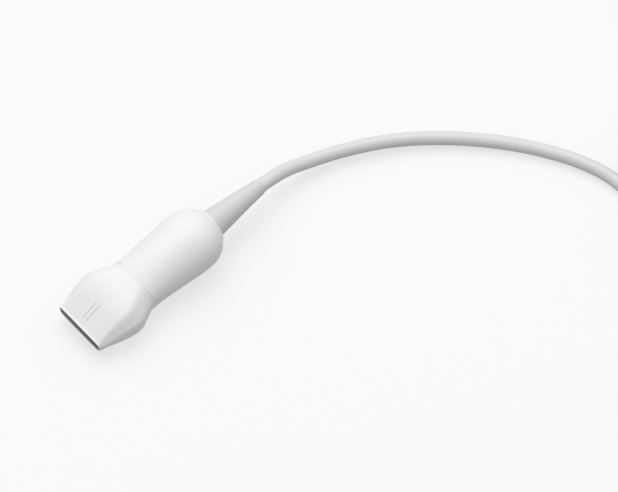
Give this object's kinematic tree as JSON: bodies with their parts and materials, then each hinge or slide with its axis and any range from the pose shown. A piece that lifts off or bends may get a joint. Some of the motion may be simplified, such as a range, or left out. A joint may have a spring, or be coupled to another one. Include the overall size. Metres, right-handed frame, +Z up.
{
  "type": "ultrasound transducer probe",
  "caption": "Small hand-held ultrasound probe with a flat flared nose, an oval handle, a soft strain relief and a coiled cable with a flat plug.",
  "frame": {"origin": "under the middle of the probe, between its lens face and the tip of its strain relief, on the surface that it lies on", "axes": "+X from the lens towards the cable, +Y to the left of someone who looks along +X, +Z up"},
  "size_m": [0.3643, 0.196, 0.0286],
  "materials": {
    "nose_plastic": "satin, fine grain",
    "handle_plastic": "satin, fine grain",
    "lens_rubber": "smooth",
    "seal_rubber": "matte",
    "boot_rubber": "matte",
    "cable_jacket": "satin",
    "layer_resin": "polished",
    "piezo": "diced",
    "backing_resin": "cast",
    "frame_metal": "milled",
    "flex_film": "film over copper",
    "board_laminate": "solder mask",
    "connector_plastic": "moulded",
    "screw_steel": "plated",
    "shield_sheet": "tinned",
    "core_bundle": "fine coaxial cores",
    "crimp_brass": "crimped",
    "clamp_metal": "die cast",
    "plug_plastic": "fine spark texture",
    "plug_clamp_plastic": "moulded",
    "contact_gold": "gold plated"
  },
  "bodies": {
    "root": {"nose_shell": "nose_plastic", "nose_seal": "seal_rubber", "acoustic_lens": "lens_rubber", "matching_layer_outer": "layer_resin", "matching_layer_inner": "layer_resin", "element_array": "piezo", "backing_block": "backing_resin", "array_carrier": "frame_metal", "flex_circuit_upper": "flex_film", "flex_circuit_lower": "flex_film", "handle_upper": "handle_plastic", "handle_lower": "handle_plastic", "board_chassis": "frame_metal", "circuit_board_upper": "board_laminate", "circuit_board_lower": "board_laminate", "flex_connectors": "connector_plastic", "coax_connectors": "connector_plastic", "board_screws": "screw_steel", "shield_can_upper": "shield_sheet", "shield_can_lower": "shield_sheet", "coax_fan": "core_bundle", "braid_crimp": "crimp_brass", "cable_clamp_upper": "clamp_metal", "cable_clamp_lower": "clamp_metal", "clamp_screws": "screw_steel", "strain_relief": "boot_rubber", "cable_lead": "cable_jacket", "plug_case_upper": "plug_plastic", "plug_case_lower": "plug_plastic", "plug_boot": "boot_rubber", "plug_lead": "cable_jacket", "plug_clamp": "plug_clamp_plastic", "plug_board": "board_laminate", "contact_tongue": "connector_plastic", "contact_strips": "contact_gold", "plug_screws": "screw_steel", "cable": "cable_jacket", "cable_coil": "cable_jacket", "cable_tail": "cable_jacket"}
  },
  "joints": []
}
